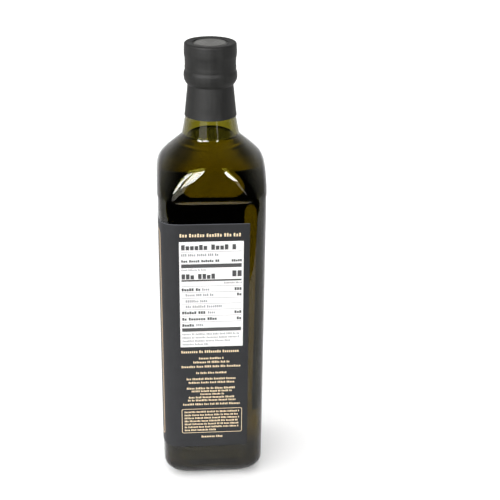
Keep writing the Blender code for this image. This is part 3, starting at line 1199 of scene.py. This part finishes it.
def sky_math(tree, operation, *sources):
    """One step of arithmetic on the room's brightness."""
    node = tree.nodes.new("ShaderNodeMath")
    node.operation = operation
    for source, socket in zip(sources, node.inputs):
        tree.links.new(source, socket)
    return node.outputs["Value"]


def make_sky():
    """The room: a wall that is bright behind the bottle, and under it a pale table as the glass sees it."""
    world = bpy.data.worlds.new("studio_room")
    bpy.context.scene.world = world
    world.use_nodes = True
    tree = world.node_tree
    background = tree.nodes["Background"]
    background.inputs["Color"].default_value = (1.0, 1.0, 1.0, 1.0)
    place = tree.nodes.new("ShaderNodeTexCoord")
    toward = tree.nodes.new("ShaderNodeSeparateXYZ")
    tree.links.new(place.outputs["Generated"], toward.inputs["Vector"])
    side, back, up = (toward.outputs[axis] for axis in ("X", "Y", "Z"))
    wall = sky_math(
        tree, "MULTIPLY", sky_range(tree, back, *WALL_BY_DEPTH), sky_range(tree, up, *WALL_BY_HEIGHT)
    )
    corner = sky_math(tree, "MINIMUM", sky_math(tree, "ABSOLUTE", side), sky_math(tree, "ABSOLUTE", back))
    low_corner = sky_math(tree, "SUBTRACT", corner, up)
    table = sky_math(
        tree, "MULTIPLY", sky_range(tree, up, *TABLE_BY_DROP), sky_range(tree, low_corner, *TABLE_BY_CORNER)
    )
    room = tree.nodes.new("ShaderNodeMix")
    room.data_type = "FLOAT"
    tree.links.new(sky_range(tree, up, *TABLE_TO_WALL), room.inputs["Factor"])
    tree.links.new(table, room.inputs["A"])
    tree.links.new(wall, room.inputs["B"])
    tree.links.new(room.outputs["Result"], background.inputs["Strength"])


def make_camera():
    """The camera at the photograph's place and angle."""
    heading = CAMERA_PAN + CAMERA_YAW
    forward = Vector((
        math.sin(heading) * math.cos(CAMERA_TILT),
        math.cos(heading) * math.cos(CAMERA_TILT),
        -math.sin(CAMERA_TILT),
    ))
    level = Vector((math.cos(heading), -math.sin(heading), 0.0))
    upward = level.cross(forward)
    right = math.cos(CAMERA_ROLL) * level + math.sin(CAMERA_ROLL) * upward
    up = math.cos(CAMERA_ROLL) * upward - math.sin(CAMERA_ROLL) * level
    turn = Matrix((right, up, -forward)).transposed().to_4x4()
    place = Vector((
        -CAMERA_DISTANCE * math.sin(CAMERA_YAW),
        -CAMERA_DISTANCE * math.cos(CAMERA_YAW),
        CAMERA_HEIGHT,
    ))
    lens = bpy.data.cameras.new("photo_camera")
    lens.lens = CAMERA_LENS
    lens.sensor_width = 36.0
    camera = bpy.data.objects.new("photo_camera", lens)
    bpy.context.scene.collection.objects.link(camera)
    camera.matrix_world = Matrix.Translation(place) @ turn
    bpy.context.scene.camera = camera


def make_stage(sizes, colours):
    """Floor, backdrop, lights, room and camera."""
    make_floor(sizes, colours)
    make_backdrop(sizes)
    make_card()
    make_overhead()
    for light in SOFT_LIGHTS:
        add_softbox(*light)
    make_sky()
    make_camera()
    scene = bpy.context.scene
    scene.view_settings.view_transform = "Standard"
    scene.cycles.use_denoising = True
    scene.cycles.denoising_input_passes = "RGB_ALBEDO"
    scene.cycles.max_bounces = 20
    scene.cycles.transmission_bounces = 20
    scene.cycles.sample_clamp_indirect = 4.0


# Operators

def settings(context):
    """The sizes and colours that the panel shows."""
    return context.scene.oil_bottle_sizes, context.scene.oil_bottle_colours


class OILBOTTLE_OT_glass(bpy.types.Operator):
    """Make the green glass body"""

    bl_idname = "oil_bottle.glass"
    bl_label = "Glass body"

    def execute(self, context):
        make_glass(*settings(context))
        return {"FINISHED"}


class OILBOTTLE_OT_oil(bpy.types.Operator):
    """Fill the bottle with oil"""

    bl_idname = "oil_bottle.oil"
    bl_label = "Oil"

    def execute(self, context):
        make_oil(*settings(context))
        return {"FINISHED"}


class OILBOTTLE_OT_cap(bpy.types.Operator):
    """Make the screw cap"""

    bl_idname = "oil_bottle.cap"
    bl_label = "Screw cap"

    def execute(self, context):
        make_cap(*settings(context))
        return {"FINISHED"}


class OILBOTTLE_OT_skin(bpy.types.Operator):
    """Shrink the black skin over cap and neck"""

    bl_idname = "oil_bottle.skin"
    bl_label = "Black skin"

    def execute(self, context):
        make_skin(*settings(context))
        return {"FINISHED"}


class OILBOTTLE_OT_label(bpy.types.Operator):
    """Wrap the paper label round three faces"""

    bl_idname = "oil_bottle.label"
    bl_label = "Paper label"

    def execute(self, context):
        make_label(*settings(context))
        return {"FINISHED"}


class OILBOTTLE_OT_print(bpy.types.Operator):
    """Lay the print on the label"""

    bl_idname = "oil_bottle.print"
    bl_label = "Label print"

    def execute(self, context):
        make_print(context.scene.oil_bottle_colours)
        return {"FINISHED"}


class OILBOTTLE_OT_stage(bpy.types.Operator):
    """Set the floor, lights, room and camera"""

    bl_idname = "oil_bottle.stage"
    bl_label = "Stage"

    def execute(self, context):
        make_stage(*settings(context))
        return {"FINISHED"}


PIECE_OPERATORS = (
    OILBOTTLE_OT_glass,
    OILBOTTLE_OT_oil,
    OILBOTTLE_OT_cap,
    OILBOTTLE_OT_skin,
    OILBOTTLE_OT_label,
    OILBOTTLE_OT_print,
    OILBOTTLE_OT_stage,
)


class OILBOTTLE_PT_panel(bpy.types.Panel):
    """Sizes, colours and operators of the oil bottle"""

    bl_idname = "OILBOTTLE_PT_panel"
    bl_label = "Oil Bottle"
    bl_space_type = "VIEW_3D"
    bl_region_type = "UI"
    bl_category = "Oil Bottle"

    def draw(self, context):
        for group in settings(context):
            for name in group.__annotations__:
                self.layout.prop(group, name)
        for operator in PIECE_OPERATORS:
            self.layout.operator(operator.bl_idname)


CLASSES = (OilBottleSizes, OilBottleColours, *PIECE_OPERATORS, OILBOTTLE_PT_panel)


def register():
    """Register the classes and hang their settings on the scene."""
    for each in CLASSES:
        bpy.utils.register_class(each)
    bpy.types.Scene.oil_bottle_sizes = bpy.props.PointerProperty(type=OilBottleSizes)
    bpy.types.Scene.oil_bottle_colours = bpy.props.PointerProperty(type=OilBottleColours)


def unregister():
    """Take the settings and the classes away again."""
    del bpy.types.Scene.oil_bottle_colours
    del bpy.types.Scene.oil_bottle_sizes
    for each in reversed(CLASSES):
        bpy.utils.unregister_class(each)


def main():
    """Make every piece and the stage."""
    register()
    bpy.ops.oil_bottle.glass()
    bpy.ops.oil_bottle.oil()
    bpy.ops.oil_bottle.cap()
    bpy.ops.oil_bottle.skin()
    bpy.ops.oil_bottle.label()
    bpy.ops.oil_bottle.print()
    bpy.ops.oil_bottle.stage()


if __name__ == "__main__":
    main()
